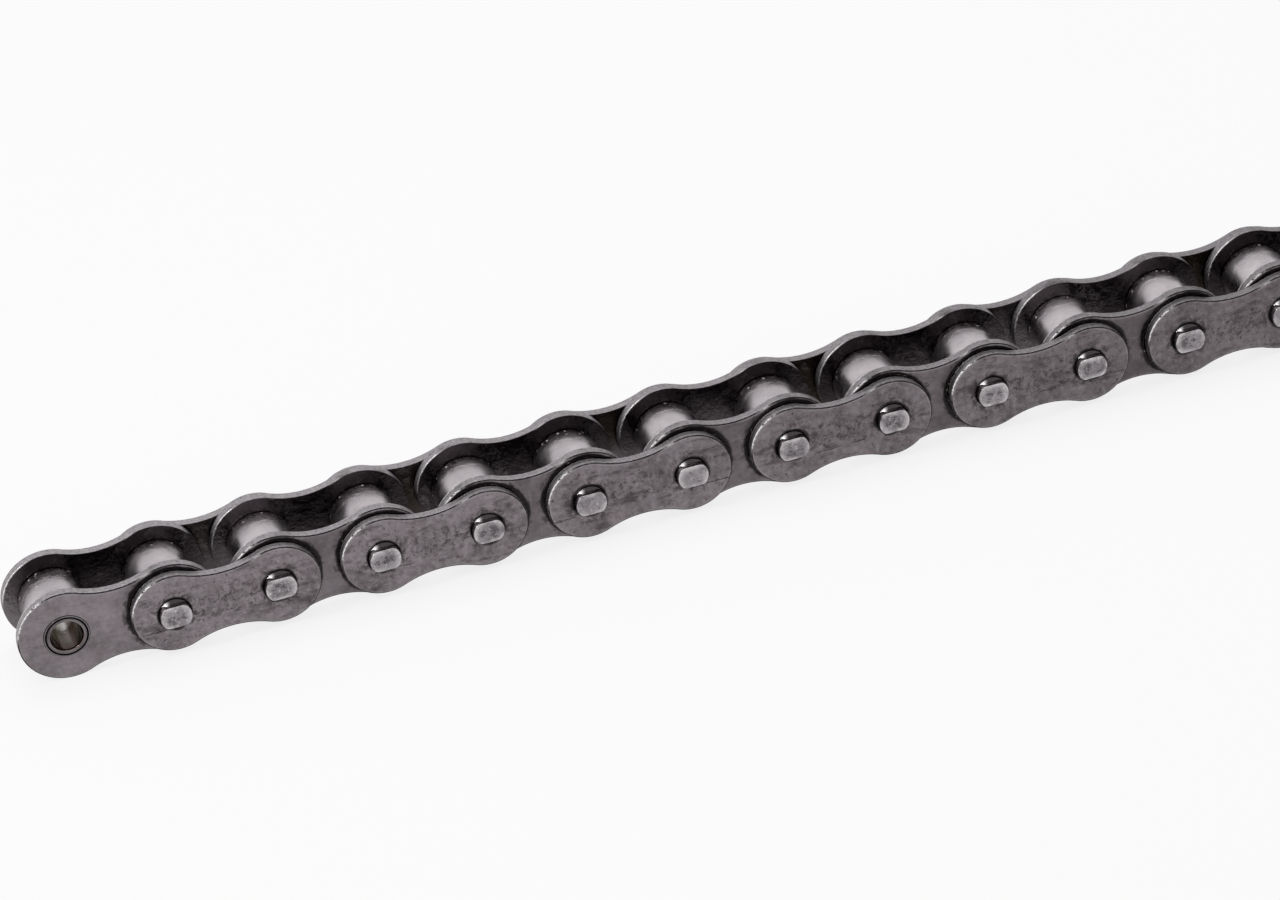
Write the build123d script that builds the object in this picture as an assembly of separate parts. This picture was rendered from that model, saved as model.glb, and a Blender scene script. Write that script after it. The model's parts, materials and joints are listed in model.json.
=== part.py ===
from build123d import *
import os

# A simplex steel roller chain, 13 pitches long, with an inner link at both ends.
# X runs along the chain, Y along its pins and Z up. The origin is the centre of the first bush.
# All lengths are in millimetres.

# ---- chain ----
pitch = 19.05
inner_links = 7
inner_width = 11.68            # between the inner plates, where a sprocket's teeth run

# ---- link plates ----
plate_thickness = 1.85
inner_lobe_diameter = 17.4     # height of an inner plate over its bushes
inner_waist_depth = 1.95       # how far each side of an inner plate is drawn in at mid pitch
outer_lobe_diameter = 15.3     # height of an outer plate over its pins
outer_waist_depth = 1.9
plate_edge_chamfer = 0.25      # broken edge round a plate's outer face
hole_mouth_chamfer = 0.2       # bevel of a plate's holes on its outer face

# ---- bushes ----
bush_diameter = 8.2
bush_stand_out = 0.12          # bush end beyond the inner plate, where the outer plate bears
bush_end_chamfer = 0.3
bush_mouth_chamfer = 0.35

# ---- rollers ----
roller_diameter = 12.07
roller_end_chamfer = 0.45
roller_mouth_chamfer = 0.2

# ---- pins ----
pin_diameter = 5.72
pin_stand_out = 1.5            # pin end beyond the outer plate
pin_across_flats = 4.25        # between the two flats pressed on each standing end
pin_end_chamfer = 0.3

# ---- clearances ----
pin_clearance = 0.04           # radial, pin in bush
roller_clearance = 0.07        # radial, roller on bush
roller_float = 0.12            # roller end to inner plate, each side
link_float = 0.08              # bush end to outer plate, each side

# ---- places across the chain, from the middle outwards ----
inner_plate_inside = inner_width / 2
inner_plate_outside = inner_plate_inside + plate_thickness
bush_half_length = inner_plate_outside + bush_stand_out
outer_plate_inside = bush_half_length + link_float
outer_plate_outside = outer_plate_inside + plate_thickness
pin_half_length = outer_plate_outside + pin_stand_out
roller_half_length = inner_plate_inside - roller_float

# ---- sizes of the running fits ----
bush_bore = pin_diameter + 2 * pin_clearance
roller_bore = bush_diameter + 2 * roller_clearance


# The outline of a link plate: two round lobes one pitch apart, joined above and below by hollow arcs
# that run tangent into both lobes. A waist arc's centre lies straight above or below mid pitch.
def waisted_outline(lobe_diameter, waist_depth):
    lobe_radius = lobe_diameter / 2
    waist_radius = pitch**2 / (8 * waist_depth) - lobe_radius + waist_depth / 2
    waist_centre = lobe_radius - waist_depth + waist_radius
    lean = Vector(pitch / 2, waist_centre).get_angle(Vector(1, 0))
    reach = 90 - lean
    lobe_start = CenterArc((0, 0), lobe_radius, lean, 360 - 2 * lean)
    waist_below = CenterArc((pitch / 2, -waist_centre), waist_radius, 90 + reach, -2 * reach)
    lobe_end = CenterArc((pitch, 0), lobe_radius, lean - 180, 360 - 2 * lean)
    waist_above = CenterArc((pitch / 2, waist_centre), waist_radius, reach - 90, -2 * reach)
    return make_face([lobe_start, waist_below, lobe_end, waist_above])


# A punched plate on the front (-Y) side of a link. Its holes take the bushes or pins pressed in, and its
# outer face has a broken edge and bevelled hole mouths.
def front_plate(lobe_diameter, waist_depth, hole_diameter, inside):
    face = waisted_outline(lobe_diameter, waist_depth)
    for x in (0, pitch):
        face -= Pos(x, 0) * Circle(hole_diameter / 2)
    plate = extrude(Plane.XZ.offset(inside) * face, plate_thickness)
    outer_face = plate.faces().sort_by(Axis.Y)[0]
    plate = chamfer(outer_face.outer_wire().edges(), plate_edge_chamfer)
    outer_face = plate.faces().sort_by(Axis.Y)[0]
    mouths = [wire.edges() for wire in outer_face.inner_wires()]
    return chamfer(sum(mouths, ShapeList()), hole_mouth_chamfer)


# A turned sleeve about Y with its outer corners and its bore's mouths bevelled.
def sleeve(outer_diameter, bore, half_length, corner, mouth):
    outside = outer_diameter / 2
    inside = bore / 2
    section = Polyline(
        (inside, -half_length + mouth),
        (inside + mouth, -half_length),
        (outside - corner, -half_length),
        (outside, -half_length + corner),
        (outside, half_length - corner),
        (outside - corner, half_length),
        (inside + mouth, half_length),
        (inside, half_length - mouth),
        close=True,
    )
    return revolve(make_face(section), Axis.Y)


# A pin, round where it turns in the bush and is pressed in the outer plates. Two flats along the chain are
# pressed on each end that stands out.
def pin():
    body = Rot(90, 0, 0) * Cylinder(pin_diameter / 2, 2 * pin_half_length)
    flats = Box(pin_diameter, pin_stand_out, pin_across_flats)
    ends = Box(pin_diameter, pin_stand_out, pin_diameter)
    for side in (-1, 1):
        place = Pos(0, side * (outer_plate_outside + pin_stand_out / 2), 0)
        body -= place * (ends - flats)
    faces = body.faces().sort_by(Axis.Y)
    rims = faces[0].edges() + faces[-1].edges()
    return chamfer(rims, pin_end_chamfer)


# Writes one piece, or several like pieces that move as one, to its own file.
def save(name, *solids):
    piece = solids[0] if len(solids) == 1 else Compound(children=list(solids))
    export_step(piece, f"parts/{name}.step")


# The plates of one link, front and back, with the link's first hole at x.
def save_plates(link_name, plate, x):
    save(f"{link_name}_front_plate", Pos(x, 0, 0) * plate)
    save(f"{link_name}_back_plate", Pos(x, 0, 0) * mirror(plate, Plane.XZ))


os.makedirs("parts", exist_ok=True)

inner_plate = front_plate(inner_lobe_diameter, inner_waist_depth, bush_diameter, inner_plate_inside)
outer_plate = front_plate(outer_lobe_diameter, outer_waist_depth, pin_diameter, outer_plate_inside)
bush = sleeve(bush_diameter, bush_bore, bush_half_length, bush_end_chamfer, bush_mouth_chamfer)
roller = sleeve(roller_diameter, roller_bore, roller_half_length, roller_end_chamfer, roller_mouth_chamfer)
link_pin = pin()

for link in range(inner_links):
    start = 2 * link * pitch
    save_plates(f"inner_link_{link + 1}", inner_plate, start)
    pair = [Pos(start, 0, 0) * bush, Pos(start + pitch, 0, 0) * bush]
    save(f"inner_link_{link + 1}_bushes", *pair)
    for end in range(2):
        number = 2 * link + end
        save(f"roller_{number + 1:02}", Pos(number * pitch, 0, 0) * roller)

for link in range(inner_links - 1):
    start = (2 * link + 1) * pitch
    save_plates(f"outer_link_{link + 1}", outer_plate, start)
    for end in range(2):
        number = 2 * link + end + 1
        save(f"pin_{number:02}", Pos(number * pitch, 0, 0) * link_pin)
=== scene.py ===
import json
import math

import bmesh
import bpy
import numpy as np
from mathutils import Matrix, Vector


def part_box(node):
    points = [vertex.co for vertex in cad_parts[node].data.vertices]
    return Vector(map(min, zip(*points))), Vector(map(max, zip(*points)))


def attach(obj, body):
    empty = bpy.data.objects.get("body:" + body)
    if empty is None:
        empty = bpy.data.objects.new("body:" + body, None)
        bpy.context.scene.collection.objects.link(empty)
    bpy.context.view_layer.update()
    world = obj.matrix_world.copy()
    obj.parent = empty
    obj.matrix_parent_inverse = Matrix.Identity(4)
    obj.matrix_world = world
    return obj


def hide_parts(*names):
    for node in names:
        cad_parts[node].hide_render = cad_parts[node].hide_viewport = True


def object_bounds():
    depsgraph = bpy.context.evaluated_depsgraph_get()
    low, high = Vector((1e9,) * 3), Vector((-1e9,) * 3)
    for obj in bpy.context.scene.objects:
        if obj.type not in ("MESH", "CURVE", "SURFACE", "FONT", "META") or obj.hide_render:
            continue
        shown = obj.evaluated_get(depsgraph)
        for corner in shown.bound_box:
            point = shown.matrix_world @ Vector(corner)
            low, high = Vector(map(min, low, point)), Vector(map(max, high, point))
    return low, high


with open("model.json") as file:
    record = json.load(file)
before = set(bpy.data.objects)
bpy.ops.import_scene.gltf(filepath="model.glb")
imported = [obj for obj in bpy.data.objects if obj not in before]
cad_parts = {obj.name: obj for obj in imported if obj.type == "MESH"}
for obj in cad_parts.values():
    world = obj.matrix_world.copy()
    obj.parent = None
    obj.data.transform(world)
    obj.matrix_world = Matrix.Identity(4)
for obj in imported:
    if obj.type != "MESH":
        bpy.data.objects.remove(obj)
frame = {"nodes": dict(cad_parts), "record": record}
cadBox = [list(corner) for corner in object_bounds()]

# Simplex roller chain: waisted link plates, bushes, rollers and pins with flatted ends.
# Lengths are in metres. X runs along the chain, Y along the pins, Z up.

mm = 0.001
bodyOf = {node: body for body, members in frame["record"]["behaviour"]["bodies"].items() for node in members}


def nodesNamed(start, end=""):
    return sorted(node for node in frame["nodes"] if node.startswith(start) and node.endswith(end))


def middleAndHalf(node):  # middle and half size of a node's box
    low, high = (np.array(corner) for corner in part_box(node))
    return (low + high) / 2, (high - low) / 2


pinMiddle, pinHalf = middleAndHalf("pin_01")
pitch = middleAndHalf("pin_02")[0][0] - pinMiddle[0]
pinRadius = pinHalf[2]
bushRadius = middleAndHalf("inner_link_1_bushes")[1][2]
lastBore = cadBox[0][0] + cadBox[1][0]  # the first bore lies at 0, and a lobe stands out past each
print("frame: pitch", round(pitch / mm, 3), "mm,", len(frame["nodes"]), "nodes")


# quads of a grid whose columns close on themselves: each point with the next column and the next row
def gridFaces(rows, columns, first):
    row, column = np.meshgrid(np.arange(rows - 1), np.arange(columns), indexing="ij")
    following = (column + 1) % columns
    corners = [row * columns + column, row * columns + following,
               (row + 1) * columns + following, (row + 1) * columns + column]
    return first + np.stack(corners, -1).reshape(-1, 4)


# one closed smooth mesh from several grids that share their border points
def makePiece(name, node, grids, material, stands=True):
    points, faces, count = [], [], 0
    for grid in grids:
        rows, columns = grid["points"].shape[:2]
        faces.append(gridFaces(rows, columns, count))
        points.append(grid["points"].reshape(-1, 3))
        count += rows * columns
    mesh = bpy.data.meshes.new(name)
    mesh.from_pydata(np.concatenate(points), [], np.concatenate(faces))
    for label in grids[0]:
        if label != "points":
            values = np.concatenate([grid[label].ravel() for grid in grids])
            mesh.attributes.new(label, "FLOAT", "POINT").data.foreach_set("value", values.astype(np.float32))
    work = bmesh.new()
    work.from_mesh(mesh)
    bmesh.ops.remove_doubles(work, verts=work.verts, dist=0.0005 * mm)
    bmesh.ops.recalc_face_normals(work, faces=work.faces)
    work.to_mesh(mesh)
    work.free()
    mesh.shade_smooth()
    mesh.materials.append(material)
    piece = bpy.data.objects.new(name, mesh)
    bpy.context.scene.collection.objects.link(piece)
    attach(piece, bodyOf[node])
    if stands:
        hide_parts(node)
    return piece


# quarter of an ellipse that leaves along its first axis and arrives along its second
def quarter(first, second, steps):
    turn = np.linspace(0, math.pi / 2, steps + 1)
    return first * np.sin(turn), second * (1 - np.cos(turn))


def smoothStep(value, low, high):  # 0 up to low, 1 from high on, and eased between them
    share = np.clip((value - low) / (high - low), 0, 1)
    return share * share * (3 - 2 * share)


def phase(random):  # where a wave starts
    return random.uniform(0, 6.28)


# metals

def addNode(tree, kind, inputs, **settings):
    node = tree.nodes.new(kind)
    for key, value in settings.items():
        setattr(node, key, value)
    for key, value in inputs.items():
        if isinstance(value, bpy.types.NodeSocket):
            tree.links.new(value, node.inputs[key])
        else:
            node.inputs[key].default_value = value
    return node


def place(tree, scale=(1, 1, 1)):  # object coordinates, stretched by axis
    coordinates = addNode(tree, "ShaderNodeTexCoord", {}).outputs["Object"]
    return addNode(tree, "ShaderNodeMapping", {"Vector": coordinates, "Scale": scale}).outputs["Vector"]


def noise(tree, where, scale, detail=3.0, rough=0.55):
    inputs = {"Vector": where, "Scale": scale, "Detail": detail, "Roughness": rough}
    return addNode(tree, "ShaderNodeTexNoise", inputs).outputs["Fac"]


def fade(tree, value, low, high, bottom=0.0, top=1.0):
    inputs = {"Value": value, "From Min": low, "From Max": high, "To Min": bottom, "To Max": top}
    return addNode(tree, "ShaderNodeMapRange", inputs, interpolation_type="SMOOTHSTEP").outputs["Result"]


def combine(tree, kind, first, second):
    return addNode(tree, "ShaderNodeMath", {0: first, 1: second}, operation=kind).outputs["Value"]


def blend(tree, amount, first, second):
    return addNode(tree, "ShaderNodeMix", {0: amount, 6: first, 7: second}, data_type="RGBA").outputs[2]


def mark(tree, label):  # a value kept on the mesh's points
    return addNode(tree, "ShaderNodeAttribute", {}, attribute_name=label).outputs["Fac"]


def bump(tree, height, strength, distance, under=None):
    inputs = {"Height": height, "Strength": strength, "Distance": distance}
    if under:
        inputs["Normal"] = under
    return addNode(tree, "ShaderNodeBump", inputs).outputs["Normal"]


def steel(name, build, finish):  # a metal whose colour, roughness, relief and matte grit come from build
    material = bpy.data.materials.new(name)
    material.use_nodes = True
    tree = material.node_tree
    tree.nodes.clear()
    colour, rough, relief, grit = build(tree, finish)
    metallic = combine(tree, "SUBTRACT", 1.0, grit) if grit else 1.0
    inputs = {"Base Color": colour, "Metallic": metallic, "Roughness": rough, "Normal": relief}
    shader = addNode(tree, "ShaderNodeBsdfPrincipled", inputs)
    addNode(tree, "ShaderNodeOutputMaterial", {"Surface": shader.outputs["BSDF"]})
    return material


# the ring's two radii and splash are in mm from the middle of the nearer hole: the ring is painted shade round
# the outer plate's lobe on inner plates, and oil with painted shade round the pin on outer plates
innerPlateFinish = {
    "dark": (0.146, 0.126, 0.136, 1), "light": (0.252, 0.221, 0.236, 1), "pit": (0.050, 0.041, 0.045, 1),
    "oilAndShade": (0.010, 0.0085, 0.0085, 1), "worn": (0.34, 0.31, 0.325, 1),
    # inner face colours: painted shade with an oil film on it, and a lighter one for the free ends where less
    # shade falls
    "inside": (0.034, 0.028, 0.029, 1), "insideWorn": (0.105, 0.092, 0.098, 1), "lessShadeAtEnds": (0.19, 0.17, 0.18, 1),
    "bright": (0.85, 0.83, 0.84, 1),
    "cutDark": (0.15, 0.138, 0.146, 1), "cutLight": (0.46, 0.43, 0.45, 1),
    "speckle": 0.25, "pits": 0.25, "smears": 0.25, "darkerInward": 0.42, "scuffs": 0.0, "seam": 0.0,
    "ringFrom": 8.65, "ringTo": 8.15, "ringOilAndShade": 0.95, "splash": 9.4, "rough": (0.25, 0.40),
}
outerPlateFinish = dict(innerPlateFinish, speckle=0.5, pits=0.8, smears=0.6, darkerInward=0.0, scuffs=0.8, seam=0.85,
                        ringFrom=3.60, ringTo=3.15, splash=5.4, inside=(0.022, 0.0175, 0.014, 1), ringOilAndShade=0.85)


def times(tree, *factors):
    result = factors[0]
    for factor in factors[1:]:
        result = combine(tree, "MULTIPLY", result, factor)
    return result


# a broken rolling seam: a line along the chain at one height, wandering a little and coming and going
def rollingSeam(tree, height, wander, width):
    axes = addNode(tree, "ShaderNodeSeparateXYZ", {0: place(tree)})
    along = place(tree, (1, 0, 0))
    sway = fade(tree, noise(tree, along, 70.0, 4.0, 0.7), 0.0, 1.0, -wander, wander)
    level = combine(tree, "ADD", combine(tree, "SUBTRACT", axes.outputs["Z"], height), sway)
    line = fade(tree, combine(tree, "ABSOLUTE", level, 0.0), width, 0.3 * width)
    return times(tree, line, fade(tree, noise(tree, along, 95.0, 2.0, 0.6), 0.52, 0.56))


# lone bright grains: the middles of cells, most of them left out
def grains(tree, scale, radius, share):
    cells = addNode(tree, "ShaderNodeTexVoronoi", {"Vector": place(tree), "Scale": scale})
    dot = fade(tree, cells.outputs["Distance"], radius, 0.5 * radius)
    pick = addNode(tree, "ShaderNodeSeparateColor", {0: cells.outputs["Color"]}).outputs["Red"]
    return times(tree, dot, combine(tree, "LESS_THAN", pick, share))


# cut side: torn streaks from dark to light
def cutSide(tree, finish, torn, fine, toward):
    edge = blend(tree, fade(tree, torn, 0.38, 0.62), finish["cutDark"], finish["cutLight"])
    edge = blend(tree, fade(tree, fine, 0.52, 0.72, 0.0, 0.5), edge, finish["cutDark"])
    return blend(tree, toward, edge, finish["oilAndShade"])


# inner face: painted shade with an uneven film of oil and lumps in it, painted lighter at the chain's two free
# ends where less shade falls
def shadedOilyInside(tree, finish, broad, lumps, smears):
    filmed = blend(tree, fade(tree, broad, 0.42, 0.68), finish["inside"], finish["insideWorn"])
    filmed = blend(tree, fade(tree, lumps, 0.56, 0.70, 0.0, 0.7), filmed, finish["insideWorn"])
    lessShadeAtEnds = times(tree, mark(tree, "lessShadeAtEnds"), fade(tree, smears, 0.25, 0.6, 1.0, 0.7))
    return blend(tree, lessShadeAtEnds, filmed, finish["lessShadeAtEnds"])


# pressed plate: clouded, pitted face with smears, a scuffed middle and a rolling seam, a crease round the
# rolled rim dark with oil and painted shade, with a painted highlight where it faces up and left, a cut side
# with torn streaks along it, oil and painted shade round the joint, painted shade with an oil film over the
# inner face
def plateSteel(tree, finish):
    here = place(tree)
    broad = noise(tree, here, 45.0, 2.0, 0.5)
    clouds = noise(tree, here, 170.0, 5.0, 0.6)
    fine = noise(tree, here, 1000.0, 4.0, 0.7)
    smears = noise(tree, place(tree, (170.0, 900.0, 560.0)), 1.0, 6.0, 0.68)
    drips = noise(tree, place(tree, (620.0, 900.0, 190.0)), 1.0, 4.0, 0.6)
    sheet = addNode(tree, "ShaderNodeCombineXYZ", {0: mark(tree, "along"), 1: mark(tree, "across"), 2: 0.0})
    streaks = addNode(tree, "ShaderNodeMapping", {"Vector": sheet.outputs[0], "Scale": (0.9, 5.0, 1)})
    torn = noise(tree, streaks.outputs[0], 1.6, 5.0, 0.75)
    pits = fade(tree, noise(tree, here, 1250.0, 3.0, 0.75), 0.385, 0.33)
    axes = addNode(tree, "ShaderNodeSeparateXYZ", {0: here})
    toward = fade(tree, axes.outputs["X"], 0.0, 0.25, 0.0, 0.30)  # the chain is darker towards its far end
    joined = mark(tree, "joined")
    reach = mark(tree, "reach")

    colour = blend(tree, fade(tree, clouds, 0.3, 0.7), finish["dark"], finish["light"])
    colour = blend(tree, fade(tree, broad, 0.38, 0.62, 0.0, 0.3), colour, finish["light"])
    colour = blend(tree, times(tree, fade(tree, fine, 0.48, 0.75), finish["speckle"]), colour, finish["pit"])
    colour = blend(tree, times(tree, fade(tree, fine, 0.50, 0.28), finish["speckle"]), colour, finish["worn"])
    colour = blend(tree, times(tree, fade(tree, smears, 0.52, 0.66), finish["smears"]), colour, finish["pit"])
    colour = blend(tree, fade(tree, smears, 0.44, 0.28, 0.0, 0.35), colour, finish["worn"])
    colour = blend(tree, fade(tree, drips, 0.42, 0.25, 0.0, 0.45), colour, finish["worn"])
    dirt = times(tree, pits, finish["pits"])
    scuffs = times(tree, mark(tree, "middle"), fade(tree, noise(tree, here, 620.0, 6.0, 0.8), 0.50, 0.60))
    dirt = combine(tree, "MAXIMUM", dirt, times(tree, scuffs, finish["scuffs"]))
    splash = times(tree, fade(tree, noise(tree, here, 520.0, 5.0, 0.75), 0.50, 0.58),
                   fade(tree, reach, finish["splash"], finish["ringFrom"]), joined)
    dirt = combine(tree, "MAXIMUM", dirt, times(tree, splash, 0.8))
    # inner plates darker away from the chain's free ends
    darkerInward = times(tree, mark(tree, "darkerInward"), fade(tree, clouds, 0.25, 0.7, 1.0, 0.6), finish["darkerInward"])
    colour = blend(tree, combine(tree, "MAXIMUM", dirt, darkerInward), colour, finish["pit"])
    colour = blend(tree, toward, colour, finish["oilAndShade"])
    rubbed = times(tree, mark(tree, "rim"), fade(tree, clouds, 0.3, 0.6, 0.0, 0.4))
    colour = blend(tree, rubbed, colour, finish["worn"])

    cut = mark(tree, "cut")
    colour = blend(tree, cut, colour, cutSide(tree, finish, torn, fine, toward))
    # ring: painted shade in the gap round the outer plate's lobe on inner plates, oil and painted shade round
    # the pin on outer plates
    ring = fade(tree, combine(tree, "ADD", reach, fade(tree, clouds, 0.3, 0.7, -0.3, 0.3)),
                finish["ringFrom"], finish["ringTo"])
    # crease: a dark line of oil and painted shade along the rim, left out where the painted highlight lies
    crease = times(tree, mark(tree, "crease"), fade(tree, torn, 0.68, 0.5, 0.3, 1.0))
    lit = times(tree, mark(tree, "lit"), fade(tree, torn, 0.42, 0.50))
    crease = times(tree, crease, combine(tree, "SUBTRACT", 1.0, lit))
    # oil and painted shade together: the ring and the crease, with the real rolling seam
    oiledAndShaded = combine(tree, "MAXIMUM", times(tree, ring, joined, finish["ringOilAndShade"]), crease)
    seam = times(tree, rollingSeam(tree, -2.9 * mm, 0.9 * mm, 0.13 * mm), finish["seam"])
    oiledAndShaded = combine(tree, "MAXIMUM", oiledAndShaded, seam)
    colour = blend(tree, times(tree, oiledAndShaded, 0.95), colour, finish["oilAndShade"])
    # inner face: painted shade with an oil film on it, painted lighter towards the chain's free ends
    inside = mark(tree, "inside")
    lumps = noise(tree, here, 420.0, 5.0, 0.65)
    colour = blend(tree, inside, colour, shadedOilyInside(tree, finish, broad, lumps, smears))
    # painted highlight along the crease and back lip where they face up and left
    colour = blend(tree, lit, colour, finish["bright"])
    # light grains in the inner face's lumps: dust that also stands in for glints
    grit = times(tree, inside, grains(tree, 560.0, 0.16, 0.14), fade(tree, lumps, 0.5, 0.6))
    colour = blend(tree, grit, colour, finish["worn"])

    rough = combine(tree, "ADD", fade(tree, clouds, 0.3, 0.75, *finish["rough"]),
                    fade(tree, fine, 0.3, 0.7, -0.04, 0.08))
    rough = combine(tree, "ADD", rough, times(tree, cut, 0.12))
    wet = combine(tree, "MAXIMUM", oiledAndShaded, times(tree, inside, 0.7))
    rough = combine(tree, "SUBTRACT", rough, times(tree, wet, 0.16))
    relief = bump(tree, noise(tree, here, 2600.0, 4.0, 0.65), 0.35, 0.04 * mm)
    relief = bump(tree, combine(tree, "MAXIMUM", dirt, seam), 0.6, -0.06 * mm, relief)
    relief = bump(tree, smears, 0.5, 0.10 * mm, relief)
    relief = bump(tree, clouds, 0.5, 0.22 * mm, relief)
    relief = bump(tree, times(tree, torn, cut), 0.9, 0.10 * mm, relief)
    relief = bump(tree, times(tree, lumps, inside), 0.7, 0.25 * mm, relief)
    return colour, rough, relief, grit


rollerFinish = {
    "dark": (0.42, 0.385, 0.405, 1), "light": (0.56, 0.52, 0.54, 1), "soiledAndShaded": (0.34, 0.31, 0.325, 1),
    "oilAndShade": (0.10, 0.086, 0.090, 1), "dustAndGlints": (0.62, 0.60, 0.60, 1), "rough": (0.24, 0.36),
    "endShadeFrom": 3.6, "endShadeTo": 2.4, "wander": 0.8,  # how far in from its ends the roller is painted darker as shade, in mm
}


# turned roller: satin in its middle, painted darker towards both ends as shade between the plates, with mottled
# oil there and light dust grains that also stand in for glints
def rollerSteel(tree, finish):
    here = place(tree)
    clouds = noise(tree, here, 230.0, 4.0, 0.6)
    fine = noise(tree, here, 1000.0, 4.0, 0.7)
    turned = noise(tree, place(tree, (300.0, 4200.0, 300.0)), 1.0, 3.0, 0.6)
    specks = fade(tree, noise(tree, here, 1700.0, 3.0, 0.7), 0.58, 0.68)
    sway = fade(tree, noise(tree, here, 300.0, 5.0, 0.7), 0.3, 0.7, -finish["wander"], finish["wander"])
    fromEnd = combine(tree, "ADD", mark(tree, "fromEnd"), sway)
    # end: painted shade towards both ends, where the roller sits between the plates
    end = fade(tree, fromEnd, finish["endShadeFrom"], finish["endShadeTo"])
    colour = blend(tree, fade(tree, clouds, 0.3, 0.7), finish["dark"], finish["light"])
    colour = blend(tree, times(tree, specks, 0.25), colour, finish["soiledAndShaded"])
    colour = blend(tree, times(tree, end, fade(tree, fine, 0.25, 0.65, 0.85, 0.45)), colour, finish["soiledAndShaded"])
    mottle = times(tree, fade(tree, fromEnd, 1.7, 0.6), fade(tree, fine, 0.44, 0.54))
    colour = blend(tree, times(tree, mottle, 0.7), colour, finish["oilAndShade"])
    # light dust grains near the ends, which also stand in for glints
    dustAndGlints = times(tree, grains(tree, 900.0, 0.30, 0.42), fade(tree, fromEnd, 2.0, 0.9), 0.9)
    colour = blend(tree, dustAndGlints, colour, finish["dustAndGlints"])
    rough = fade(tree, clouds, 0.3, 0.7, *finish["rough"])
    rough = combine(tree, "SUBTRACT", rough, times(tree, mottle, 0.12))
    relief = bump(tree, turned, 0.25, 0.02 * mm)
    relief = bump(tree, times(tree, fine, end), 0.6, 0.10 * mm, relief)
    return colour, rough, relief, dustAndGlints


bushFinish = {
    "dark": (0.105, 0.090, 0.096, 1), "light": (0.20, 0.18, 0.19, 1), "oilAndShade": (0.010, 0.0085, 0.0085, 1),
    "bright": (0.50, 0.485, 0.485, 1), "straw": (0.17, 0.155, 0.12, 1), "brown": (0.125, 0.092, 0.084, 1),
    "rough": (0.10, 0.20),
}


# hardened bush: grey end with oil and painted shade in its groove, bore bright on one side, straw and brown on
# the others
def bushSteel(tree, finish):
    here = place(tree)
    clouds = noise(tree, here, 320.0, 4.0, 0.6)
    colour = blend(tree, fade(tree, clouds, 0.35, 0.65), finish["dark"], finish["light"])
    bore = blend(tree, fade(tree, clouds, 0.35, 0.65, 0.0, 0.3), finish["bright"], finish["straw"])
    bore = blend(tree, mark(tree, "straw"), bore, finish["straw"])
    bore = blend(tree, mark(tree, "brown"), bore, finish["brown"])
    bore = blend(tree, times(tree, mark(tree, "shallow"), 0.85), bore, finish["brown"])
    colour = blend(tree, mark(tree, "bore"), colour, bore)
    # oil and painted shade in the end groove
    oiledAndShaded = times(tree, mark(tree, "groove"), fade(tree, clouds, 0.3, 0.6, 0.8, 1.0))
    colour = blend(tree, oiledAndShaded, colour, finish["oilAndShade"])
    relief = bump(tree, noise(tree, here, 2400.0), 0.3, 0.03 * mm)
    relief = bump(tree, clouds, 0.4, 0.12 * mm, relief)
    return colour, fade(tree, clouds, 0.3, 0.7, *finish["rough"]), relief, None


pinFinish = {
    "dark": (0.165, 0.147, 0.157, 1), "light": (0.30, 0.275, 0.29, 1), "pressed": (0.048, 0.040, 0.043, 1),
    "oiledAndShaded": (0.060, 0.051, 0.053, 1), "bright": (0.92, 0.90, 0.91, 1), "rough": (0.18, 0.32),
}


# pin: thin worn rim, end pitted and blotched by the press, oil and painted shade on its shoulders, a painted
# highlight along its left corners
def pinSteel(tree, finish):
    here = place(tree)
    clouds = noise(tree, here, 430.0, 5.0, 0.65)
    fine = noise(tree, here, 1500.0, 4.0, 0.75)
    each = fade(tree, noise(tree, here, 60.0, 1.0, 0.5), 0.35, 0.65)  # one pin is brighter than another
    marked = combine(tree, "SUBTRACT", noise(tree, here, 760.0, 6.0, 0.8), times(tree, each, 0.06))
    blotch = fade(tree, marked, 0.485, 0.535)
    colour = blend(tree, fade(tree, clouds, 0.3, 0.7), finish["dark"], finish["light"])
    colour = blend(tree, times(tree, each, 0.5), colour, finish["light"])
    colour = blend(tree, fade(tree, fine, 0.45, 0.28, 0.0, 0.5), colour, finish["bright"])
    centre = times(tree, mark(tree, "endFace"), blotch)
    colour = blend(tree, times(tree, centre, 0.7), colour, finish["pressed"])
    worn = times(tree, mark(tree, "edge"), fade(tree, clouds, 0.35, 0.6, 0.0, 0.35))
    colour = blend(tree, worn, colour, finish["bright"])
    # shoulder: oil and painted shade on the half-moon above each flat
    colour = blend(tree, mark(tree, "shoulder"), colour, finish["oiledAndShaded"])
    # painted highlight along the left corner between flat and round
    colour = blend(tree, mark(tree, "corner"), colour, finish["bright"])
    relief = bump(tree, noise(tree, here, 2600.0), 0.3, 0.04 * mm)
    relief = bump(tree, centre, 0.7, -0.10 * mm, relief)
    relief = bump(tree, fine, 0.4, 0.05 * mm, relief)
    rough = combine(tree, "SUBTRACT", fade(tree, clouds, 0.3, 0.7, *finish["rough"]),
                    times(tree, mark(tree, "corner"), 0.12))
    return colour, rough, relief, None


greaseFinish = {"dark": (0.014, 0.0115, 0.010, 1), "grit": (0.16, 0.14, 0.125, 1), "rough": (0.08, 0.26)}


# old grease: dark and wet, with grit in it
def greaseLook(tree, finish):
    here = place(tree)
    clouds = noise(tree, here, 900.0, 5.0, 0.7)
    colour = blend(tree, fade(tree, clouds, 0.56, 0.66), finish["dark"], finish["grit"])
    relief = bump(tree, clouds, 0.8, 0.15 * mm)
    return colour, fade(tree, clouds, 0.35, 0.65, *finish["rough"]), relief, None


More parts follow.
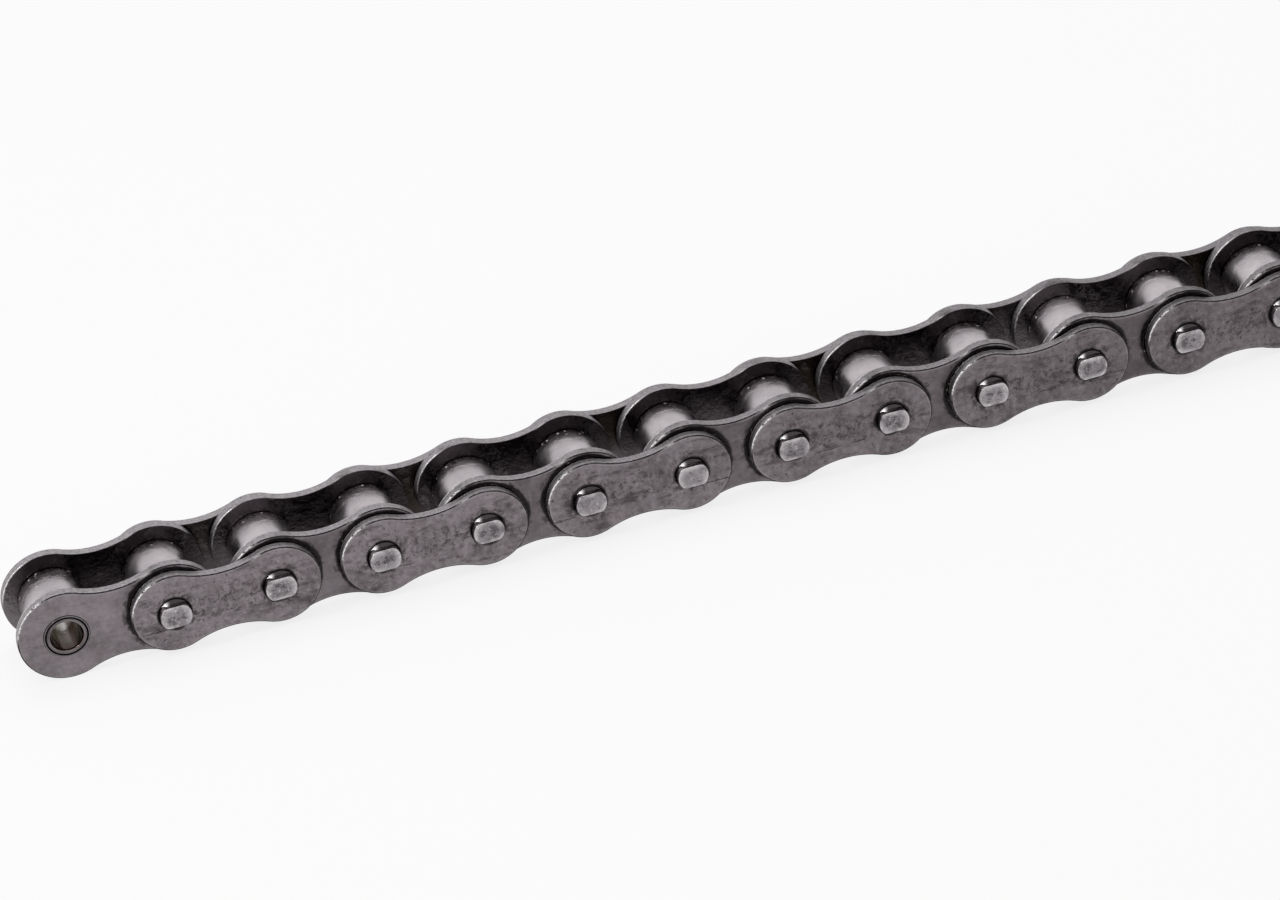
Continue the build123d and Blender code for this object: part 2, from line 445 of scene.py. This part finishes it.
innerPlateMetal = steel("innerPlateMetal", plateSteel, innerPlateFinish)
outerPlateMetal = steel("outerPlateMetal", plateSteel, outerPlateFinish)
rollerMetal = steel("rollerMetal", rollerSteel, rollerFinish)
bushMetal = steel("bushMetal", bushSteel, bushFinish)
pinMetal = steel("pinMetal", pinSteel, pinFinish)
oldGrease = steel("oldGrease", greaseLook, greaseFinish)
print("metals: done")


# link plates

plateForm = {
    "lobeSteps": 96, "waistSteps": 18, "midSteps": 12, "faceRows": 12,
    "rollWidth": 0.50 * mm, "rollDepth": 0.12 * mm,  # pulled down by the punch on the outer face
    "lip": 0.10 * mm, "nicks": 0.05 * mm,  # small round from there into the cut side, and the nicks in it
    "band": 1.0 * mm, "backEdge": 0.10 * mm,
    "tornFrom": 0.60, "tornStep": 0.04 * mm,  # where the cut side turns from sheared to torn, and its step in
    "ragged": 0.12 * mm,  # how far the line of that step wanders
    "uneven": 0.025 * mm, "unevenIn": 2.2 * mm, "unevenOut": 1.5 * mm,  # full so far from outline and hole
    "litWay": (-0.77, 0.64), "litFrom": 0.80, "litTo": 0.97,  # which way the painted highlight on a lobe's rim faces
    "lessShadeFrom": 2.5 * mm, "lessShadeTo": 7.5 * mm,  # past the first and the last bore
    "scuffLong": (6.2 * mm, 5.2 * mm), "scuffHigh": (3.4 * mm, 2.2 * mm),  # where the scuffs end, are full
}
plateKinds = {
    "inner": {"waistDepth": 1.95 * mm, "hole": bushRadius, "mouth": 0.16 * mm,
              "metal": innerPlateMetal, "seed": 100},
    "outer": {"waistDepth": 1.90 * mm, "hole": pinRadius, "mouth": 0.40 * mm,
              "metal": outerPlateMetal, "seed": 200},
}


# Radius of a plate's waist, and how high above mid pitch its centre lies. The waist is as far out as makes
# its arc touch both lobes: pitch^2 / (8 depth) - lobe + depth / 2.
def waistOf(lobe, depth):
    waist = pitch**2 / (8 * depth) - lobe + depth / 2
    return waist, lobe - depth + waist


# Half of a waisted outline drawn in by inset, from mid pitch over the lobe and back to mid pitch: the lobe
# is an arc of radius lobe - inset about the hole, the waist one of radius waist + inset about its own
# centre.
def halfOutline(lobe, depth, inset):
    waist, height = waistOf(lobe, depth)
    lean = math.atan2(height, pitch / 2)
    swing = np.linspace(0, math.pi / 2 - lean, plateForm["waistSteps"] + 1)
    above = np.stack([pitch / 2 - (waist + inset) * np.sin(swing),
                      height - (waist + inset) * np.cos(swing)], 1)
    turn = np.linspace(lean, 2 * math.pi - lean, plateForm["lobeSteps"] + 1)
    around = (lobe - inset) * np.stack([np.cos(turn), np.sin(turn)], 1)
    return np.concatenate([above[:-1], around, (above * (1, -1))[-2::-1]])


# how far a point of a plate lies inside its outline
def insetOf(x, z, lobe, depth):
    waist, height = waistOf(lobe, depth)
    onLobe = np.arctan2(np.abs(z), x) > math.atan2(height, pitch / 2)
    return np.where(onLobe, lobe - np.hypot(x, z), np.hypot(x - pitch / 2, np.abs(z) - height) - waist)


# The edge of a plate: a profile of inset and depth carried round the outline. From the outer face it sinks
# along part of a parabola, turns over a small lip into the cut side, steps in where the metal tore, and
# turns into the inner face.
def edgeGrid(lobe, kind, thickness, random):
    form = plateForm
    share = np.linspace(0, 1, 6)
    lipIn, lipDown = quarter(form["lip"], form["lip"], 4)
    down, into = quarter(form["backEdge"], form["backEdge"], 3)
    torn = form["tornFrom"] * thickness
    step = form["tornStep"]
    wall = form["rollDepth"] + form["lip"]
    inset = np.concatenate([[form["band"]], form["rollWidth"] + (form["lip"] - form["rollWidth"]) * share,
                            form["lip"] - lipIn[1:], [0, 0, step, step], step + into,
                            [form["backEdge"] + 0.2 * mm, form["band"]]])
    depth = np.concatenate([[0], form["rollDepth"] * share**2, form["rollDepth"] + lipDown[1:],
                            [(wall + torn) / 2, torn, torn + 0.08 * mm, (torn + thickness) / 2],
                            thickness - form["backEdge"] + down, [thickness, thickness]])
    half = np.stack([halfOutline(lobe, kind["waistDepth"], value) for value in inset])
    loop = np.concatenate([half, (half * (-1, 1) + (pitch, 0))[:, -2:0:-1]], 1)
    along = np.linspace(0, 2 * math.pi, loop.shape[1], endpoint=False)
    ragged = sum(np.sin(along * count + phase(random)) / (count + 8) ** 0.5 for count in (3, 7, 12, 19, 31))
    nicked = np.convolve(np.pad(random.uniform(0, 1, len(along)) ** 4, 1, "wrap"), (0.25, 0.5, 0.25), "valid")
    one = np.ones(len(along))
    depthGrid = depth[:, None] * one
    tornRow = 1 + len(share) + len(lipIn)
    depthGrid[tornRow:tornRow + 2] += form["ragged"] * ragged
    depthGrid[len(share) - 1:len(share) + 2] += form["nicks"] * nicked
    row = np.arange(len(depth))
    lipRow = len(share)
    wallRow = lipRow + len(lipIn) - 1
    backRow = len(depth) - 2
    rim = smoothStep(row, 0.5, 3) * (row <= lipRow)
    crease = (row >= lipRow - 1) * (row < wallRow)
    cut = (row >= wallRow) * (row < backRow)
    backLip = (row >= backRow - 4) * (row < backRow)
    inside = row >= backRow - 3
    cut = cut * (1 - inside)
    outward = np.roll(loop[lipRow], -1, axis=0) - np.roll(loop[lipRow], 1, axis=0)
    outward = np.stack([outward[:, 1], -outward[:, 0]], 1) / np.hypot(*outward.T)[:, None]
    facing = smoothStep(outward @ np.array(form["litWay"]), form["litFrom"], form["litTo"])
    reach = np.minimum(np.hypot(loop[..., 0], loop[..., 1]), np.hypot(loop[..., 0] - pitch, loop[..., 1]))
    marks = {"rim": rim, "crease": crease, "cut": cut, "inside": inside}
    run = np.concatenate([[0], np.cumsum(np.hypot(*np.diff(loop[lipRow], axis=0).T))])
    # lit: a painted highlight on the crease and the back lip where their outline faces litWay
    return dict({label: value[:, None] * one for label, value in marks.items()},
                x=loop[..., 0], z=loop[..., 1], depth=depthGrid, reach=reach / mm,
                lit=((crease > 0) | (backLip > 0))[:, None] * facing,
                along=run / mm * np.ones((len(depth), 1)), across=(depthGrid + inset[:, None]) / mm)


# One half of a plate round its hole: straight lines run in from the outline over the outer face to the
# mouth of the hole, round the mouth on a quarter circle, through the hole and out again over the inner
# face.
def faceGrid(lobe, kind, thickness):
    form = plateForm
    half = halfOutline(lobe, kind["waistDepth"], form["band"])
    rise = np.linspace(half[-1, 1], half[0, 1], form["midSteps"] + 1)[1:-1]
    border = np.concatenate([half, np.stack([np.full(len(rise), pitch / 2), rise], 1)])
    around = np.arctan2(border[:, 1], border[:, 0])
    spoke = np.stack([np.cos(around), np.sin(around)], 1)
    ring = kind["hole"] + kind["mouth"]
    share = np.linspace(0, 1, form["faceRows"] + 1)[:, None, None]
    front = border * (1 - share) + ring * spoke * share
    mouthIn, mouthDown = quarter(kind["mouth"], kind["mouth"], 5)
    mouth = spoke * (ring - mouthIn[1:, None, None])
    back = border * share[::3] + kind["hole"] * spoke * (1 - share[::3])
    loop = np.concatenate([front, mouth, back])
    depth = np.concatenate([np.zeros(len(front)), mouthDown[1:], np.full(len(back), thickness)])
    one = np.ones(len(border))
    none = np.zeros(loop.shape[:2])
    return {"rim": none, "crease": none, "cut": none, "inside": (depth == thickness)[:, None] * one,
            "x": loop[..., 0], "z": loop[..., 1], "depth": depth[:, None] * one,
            "reach": np.hypot(loop[..., 0], loop[..., 1]) / mm, "along": none, "across": none,
            "lit": none}


# Shallow hollows in the outer face, clear of its edges: a mean of waves of four lengths, each its own way.
def hollow(x, z, clear, waves):
    swell = sum(np.sin((x * math.cos(way) + z * math.sin(way)) * 2 * math.pi / length + start)
                for way, start, length in waves) / len(waves)
    return plateForm["uneven"] * clear * (1 + swell)


def plateGrids(node, kind, random):
    middle, half = middleAndHalf(node)
    lobe, thickness = half[2], 2 * half[1]
    side = np.sign(middle[1])
    form = plateForm
    edge = edgeGrid(lobe, kind, thickness, random)
    left = faceGrid(lobe, kind, thickness)
    clear = smoothStep(insetOf(left["x"], left["z"], lobe, kind["waistDepth"]), form["band"], form["unevenIn"])
    clear *= smoothStep(left["reach"] * mm, kind["hole"] + kind["mouth"], kind["hole"] + form["unevenOut"])
    clear *= left["depth"] == 0
    waves = [(phase(random), phase(random), length * mm) for length in (14, 9, 6, 4)]
    right = dict(left, x=pitch - left["x"])
    for grid in (left, right):
        grid["depth"] = grid["depth"] + hollow(grid["x"], grid["z"], clear, waves)
    grids = []
    # joined: the nearer bore holds a pin. Then a mark for plates darker away from the chain's free ends, and
    # one for the lobes there, where the painted shade on the inner face is lightened.
    for grid in (edge, left, right):
        local, z = grid.pop("x"), grid.pop("z")
        x = middle[0] - pitch / 2 + local
        grid["points"] = np.stack([x, middle[1] + side * (half[1] - grid.pop("depth")), z], -1)
        bore = middle[0] - pitch / 2 + pitch * (local > pitch / 2)
        grid["joined"] = 1.0 * (bore > 0.5 * pitch) * (bore < lastBore - 0.5 * pitch)
        grid["darkerInward"] = smoothStep(np.minimum(x, lastBore - x), 0.3 * pitch, 0.8 * pitch)
        grid["lessShadeAtEnds"] = smoothStep(np.maximum(-x, x - lastBore), form["lessShadeFrom"], form["lessShadeTo"])
        grid["middle"] = smoothStep(np.abs(local - pitch / 2), *form["scuffLong"])
        grid["middle"] *= smoothStep(np.abs(z), *form["scuffHigh"])
        grids.append(grid)
    return grids


for kindName, kind in plateKinds.items():
    for number, node in enumerate(nodesNamed(kindName + "_link_", "_plate")):
        words = node.split("_")
        name = kindName + "Link" + words[2] + words[3].capitalize() + "Plate"
        random = np.random.default_rng(kind["seed"] + number)
        makePiece(name, node, plateGrids(node, kind, random), kind["metal"])
print("link plates: done")


# rollers and bushes

# a section of radii and places along Y, turned about the Y axis through x
def turnedGrid(x, radius, along, columns, **marks):
    turn = np.linspace(0, 2 * math.pi, columns, endpoint=False)
    one = np.ones(columns)
    points = np.stack([x + radius[:, None] * np.cos(turn), along[:, None] * one,
                       radius[:, None] * np.sin(turn)], -1)
    return dict({label: value[:, None] * one for label, value in marks.items()}, points=points)


# The section of a sleeve from the middle of its bore outwards: bore, mouth on a quarter ellipse, end,
# corner on a quarter circle, outside. The other half of the section is its mirror image.
def sleeveSection(outside, halfLength, form):
    bore, corner, mouth, deep = form["bore"], form["corner"], form["mouth"], form["mouthDepth"]
    mouthAlong, mouthOut = quarter(deep, mouth, 6)
    cornerOut, cornerIn = quarter(corner, corner, 6)
    inner = [0, 0.4 * halfLength, 0.6 * halfLength, 0.75 * halfLength]
    radius = np.concatenate([[bore] * (len(inner) + 1), bore + mouthOut,
                             [(bore + mouth + outside - corner) / 2],
                             outside - corner + cornerOut, [outside, outside, outside]])
    along = np.concatenate([inner, [halfLength - deep - 0.3 * mm], halfLength - deep + mouthAlong, [halfLength],
                            halfLength - cornerIn, [halfLength - corner - 0.3 * mm, halfLength * 0.5, 0]])
    return np.concatenate([radius, radius[-2::-1]]), np.concatenate([along, -along[-2::-1]])


rollerClearance = 0.07 * mm
pinClearance = 0.04 * mm
rollerForm = {
    "bore": bushRadius + rollerClearance, "corner": 0.45 * mm, "mouth": 0.20 * mm, "mouthDepth": 0.20 * mm,
    "columns": 112,
}
bushForm = {
    "bore": pinRadius + pinClearance, "corner": 0.08 * mm, "mouth": 0.24 * mm, "mouthDepth": 0.5 * mm,
    "grooveIn": 0.32 * mm, "groove": 0.13 * mm, "grooveDeep": 0.12 * mm, "columns": 80,
    "shallowFrom": 4.2 * mm, "shallowTo": 1.2 * mm,  # how deep in the bore its brown mouth ends, is full
    "strawWay": 3.8, "brownWay": 5.7,  # where round the bore these colours lie, in radians from X to Z
}


# a fine round-bottomed groove let into the end of a section, grooveIn from its outside
def grooved(radius, along, outside, halfLength, form):
    turn = np.linspace(0, math.pi, 9)
    across = outside - form["grooveIn"] - form["groove"] * np.cos(turn)
    deep = halfLength - form["grooveDeep"] * np.sin(turn)
    near = int(np.argmax(along)) + 1
    far = len(along) - near
    radius = np.concatenate([radius[:near], across, radius[near:far], across[::-1], radius[far:]])
    along = np.concatenate([along[:near], deep, along[near:far], -deep[::-1], along[far:]])
    return radius, along


for number, node in enumerate(nodesNamed("roller_"), 1):
    middle, half = middleAndHalf(node)
    radius, along = sleeveSection(half[2], half[1], rollerForm)
    fromEnd = (half[1] - np.abs(along)) / mm
    grid = turnedGrid(middle[0], radius, along, rollerForm["columns"], fromEnd=fromEnd)
    makePiece(f"roller{number:02d}", node, [grid], rollerMetal)

for number, node in enumerate(nodesNamed("inner_link_", "_bushes")):
    middle, half = middleAndHalf(node)
    radius, along = sleeveSection(half[2], half[1], bushForm)
    radius, along = grooved(radius, along, half[2], half[1], bushForm)
    bore = 1.0 * (radius < bushForm["bore"] + 0.9 * bushForm["mouth"])
    fromGroove = np.abs(radius - half[2] + bushForm["grooveIn"]) / bushForm["groove"]
    groove = smoothStep(fromGroove, 1.2, 0.8) * (np.abs(along) > half[1] - 0.2 * mm)
    shallow = smoothStep(half[1] - np.abs(along), bushForm["shallowFrom"], bushForm["shallowTo"]) * bore
    turn = np.linspace(0, 2 * math.pi, bushForm["columns"], endpoint=False) * np.ones((len(radius), 1))
    for end in (0, 1):
        x = middle[0] + (end - 0.5) * pitch
        grid = turnedGrid(x, radius, along, bushForm["columns"], bore=bore, groove=groove, shallow=shallow)
        grid["straw"] = smoothStep(np.cos(turn - bushForm["strawWay"]), 0.35, 1.0)
        grid["brown"] = smoothStep(np.cos(turn - bushForm["brownWay"]), 0.70, 0.86)
        makePiece(f"bush{2 * number + end + 1:02d}", node, [grid], bushMetal)
print("rollers and bushes: done")


# pins

pinForm = {
    "flatHalf": 2.125 * mm, "slim": 0.02 * mm,  # the ends are that much slimmer than the round middle
    "shoulder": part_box("outer_link_1_back_plate")[1][1],
    "rim": 0.22 * mm, "crown": 0.05 * mm, "columns": 120, "corner": 15,
}


# A pin from its middle outwards: round as far as the outer plate's face, stepped in to two flats, along
# them, and over a rim on a quarter circle to a slightly domed end. The flatted section joins round and flat
# by a power mean, 1 / r^n = 1 / round^n + (sin / flat)^n, which rounds the corner between them.
def pinGrid(x, radius, halfLength):
    form = pinForm
    power = form["corner"]
    turn = np.linspace(0, 2 * math.pi, form["columns"], endpoint=False)
    one = np.ones(len(turn))
    side = radius - form["slim"]
    flatted = (side**-power + (np.abs(np.sin(turn)) / form["flatHalf"]) ** power) ** (-1 / power)
    rimAlong, rimIn = quarter(form["rim"], form["rim"], 6)
    shoulder = form["shoulder"]
    shares = np.array([0.85, 0.6, 0.3, 0.0])
    along = np.concatenate([[0, shoulder - 0.3 * mm, shoulder - 0.06 * mm],
                            [shoulder, shoulder, shoulder + 0.05 * mm, shoulder + 0.5 * mm],
                            halfLength - form["crown"] - form["rim"] + rimAlong,
                            halfLength - form["crown"] * shares**2])
    radii = np.concatenate([[radius * one] * 3, [np.maximum(flatted, radius - 0.06 * mm)], [flatted] * 3,
                            flatted - rimIn[:, None], (flatted - form["rim"]) * shares[:, None]])
    row = np.arange(len(along))
    flatRow, rimRow = 4, 7
    crownRow = rimRow + len(rimAlong)
    fromCorner = np.abs(np.abs(np.sin(turn)) - form["flatHalf"] / side)
    cut = side - flatted
    marks = {
        "endFace": smoothStep(row, crownRow - 0.5, crownRow + 1.5)[:, None] * one,
        "edge": (smoothStep(row, rimRow + 1, rimRow + 3)
                 - smoothStep(row, crownRow - 0.5, crownRow + 0.5))[:, None] * one,
        # shoulder: where oil and painted shade go above each flat
        "shoulder": ((row > 0) * (row <= flatRow))[:, None] * smoothStep(cut, 0, 0.1 * mm),
        # corner: a painted highlight, on the left corners only
        "corner": ((row >= flatRow - 1) * (row < rimRow + 2))[:, None] * smoothStep(fromCorner, 0.24, 0.08)
                  * (np.cos(turn) < 0),
    }
    points = np.stack([x + radii * np.cos(turn), along[:, None] * one, radii * np.sin(turn)], -1)
    half = dict(marks, points=points)
    other = {label: grid[:0:-1] for label, grid in half.items()}
    other["points"] = other["points"] * (1, -1, 1)
    return {label: np.concatenate([other[label], grid]) for label, grid in half.items()}


for number, node in enumerate(nodesNamed("pin_"), 1):
    middle, half = middleAndHalf(node)
    makePiece(f"pin{number:02d}", node, [pinGrid(middle[0], half[2], half[1])], pinMetal)
print("pins: done")


# old grease pressed out round the joints

greaseForm = {
    "from": -0.10 * mm, "wide": (0.10 * mm, 0.75 * mm), "high": (0.02 * mm, 0.30 * mm), "sunk": 0.04 * mm,
    "spread": 1.95, "steps": 150, "section": 10, "seed": 300,  # spread: radians to each side of the lobe's tip
}
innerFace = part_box("inner_link_1_back_plate")[1][1]


# A bead of grease on an inner plate along the lobe of the outer plate over it: half ellipses whose width
# and height follow two wandering curves, means of waves of many lengths, carried round the lobe's arc and
# ending in points.
def greaseBead(name, node, pinNumber, random):
    form = greaseForm
    middle, half = middleAndHalf(node)
    side = np.sign(middle[1])
    share = np.linspace(0, 1, form["steps"])
    turn = math.pi * (1 - pinNumber) + form["spread"] * (2 * share - 1)
    taper = np.sin(math.pi * share) ** 0.4
    wander = [sum(np.sin(turn * count + phase(random)) / count**0.35 for count in (2, 5, 9, 16, 27, 41, 60))
              for _ in range(2)]
    wide, high = (low + (high - low) * np.clip(0.35 + 0.28 * curve, 0, 1) ** 1.5
                  for curve, (low, high) in zip(wander, (form["wide"], form["high"])))
    around = np.linspace(0, 2 * math.pi, form["section"], endpoint=False)
    radius = half[2] + form["from"] + (wide * taper)[:, None] * (0.5 + 0.5 * np.cos(around))
    lift = np.where(np.sin(around) > 0, (high * taper)[:, None] * np.sin(around), form["sunk"] * np.sin(around))
    x = middle[0] + (pinNumber - 0.5) * pitch + radius * np.cos(turn)[:, None]
    z = radius * np.sin(turn)[:, None]
    bead = np.stack([x, side * (innerFace + lift), z], -1)
    tips = [np.broadcast_to(bead[end].mean(0), (1,) + bead[end].shape) for end in (0, -1)]
    points = np.concatenate([tips[0], bead, tips[1]])
    makePiece(name, node, [{"points": points}], oldGrease, stands=False)


for number, node in enumerate(nodesNamed("outer_link_", "_plate")):
    random = np.random.default_rng(greaseForm["seed"] + number)
    words = node.split("_")
    for pinNumber in (0, 1):
        name = f"grease{words[2]}{words[3].capitalize()}{pinNumber + 1}"
        greaseBead(name, node, pinNumber, random)
print("grease: done")


# floor, light and camera

# one for rays that the camera sends or sees mirrored, for which floor and world are simply white
def whiteRays(tree):
    path = addNode(tree, "ShaderNodeLightPath", {})
    seen = combine(tree, "MAXIMUM", path.outputs["Is Camera Ray"], path.outputs["Is Glossy Ray"])
    return combine(tree, "MAXIMUM", seen, path.outputs["Is Transmission Ray"])


floorForm = {"half": 6.0, "colour": (0.86, 0.86, 0.86, 1), "glow": 0.8}

side, height = floorForm["half"], cadBox[0][2]
floorMesh = bpy.data.meshes.new("floor")
floorCorners = [(-side, -side, height), (side, -side, height), (side, side, height), (-side, side, height)]
floorMesh.from_pydata(floorCorners, [], [(0, 1, 2, 3)])
floorPaint = bpy.data.materials.new("floorPaint")
floorPaint.use_nodes = True
tree = floorPaint.node_tree
tree.nodes.clear()
matte = addNode(tree, "ShaderNodeBsdfDiffuse", {"Color": floorForm["colour"]})
glow = addNode(tree, "ShaderNodeEmission", {"Color": (1, 1, 1, 1), "Strength": 1.0})
share = combine(tree, "MULTIPLY", whiteRays(tree), floorForm["glow"])
mixed = addNode(tree, "ShaderNodeMixShader", {0: share, 1: matte.outputs[0], 2: glow.outputs[0]})
addNode(tree, "ShaderNodeOutputMaterial", {"Surface": mixed.outputs[0]})
floorMesh.materials.append(floorPaint)
floor = bpy.data.objects.new("floor", floorMesh)
bpy.context.scene.collection.objects.link(floor)

world = bpy.data.worlds.new("studio")
bpy.context.scene.world = world
world.use_nodes = True
tree = world.node_tree
tree.nodes.clear()
strength = fade(tree, whiteRays(tree), 0.0, 1.0, 0.65, 1.0)
sky = addNode(tree, "ShaderNodeBackground", {"Color": (1, 1, 1, 1), "Strength": strength})
addNode(tree, "ShaderNodeOutputWorld", {"Surface": sky.outputs[0]})

lamps = {
    "overhead": {"from": (0.05, 0.15, 0.75), "size": 0.55, "watts": 1.4},
    "left": {"from": (-0.62, -0.12, 0.60), "size": 0.12, "watts": 1.3},
}
centre = (Vector(cadBox[0]) + Vector(cadBox[1])) / 2
for name, lamp in lamps.items():
    light = bpy.data.lights.new(name, "AREA")
    light.size = lamp["size"]
    light.energy = lamp["watts"]
    holder = bpy.data.objects.new(name, light)
    holder.location = centre + Vector(lamp["from"])
    holder.rotation_euler = Vector(lamp["from"]).to_track_quat("Z", "Y").to_euler()
    bpy.context.scene.collection.objects.link(holder)

# camera: place in pitches, angles in radians
view = {"place": (-3.7529, -40.2827, 26.4787), "turn": 0.2296, "down": 0.5683, "roll": -0.1391, "lens": 146.83}
forward = Vector((math.sin(view["turn"]) * math.cos(view["down"]),
                  math.cos(view["turn"]) * math.cos(view["down"]),
                  -math.sin(view["down"])))
level = Vector((math.cos(view["turn"]), -math.sin(view["turn"]), 0))
upright = level.cross(forward)
right = math.cos(view["roll"]) * level + math.sin(view["roll"]) * upright
up = -math.sin(view["roll"]) * level + math.cos(view["roll"]) * upright
lens = bpy.data.cameras.new("camera")
lens.lens = view["lens"]
lens.sensor_fit = "HORIZONTAL"
lens.sensor_width = 36.0
lens.clip_start = 0.01
camera = bpy.data.objects.new("camera", lens)
turnMatrix = Matrix((right, up, -forward)).transposed().to_4x4()
camera.matrix_world = Matrix.Translation(Vector(view["place"]) * pitch) @ turnMatrix
bpy.context.scene.collection.objects.link(camera)
bpy.context.scene.camera = camera
bpy.context.scene.view_settings.view_transform = "Standard"
print("stage: done")
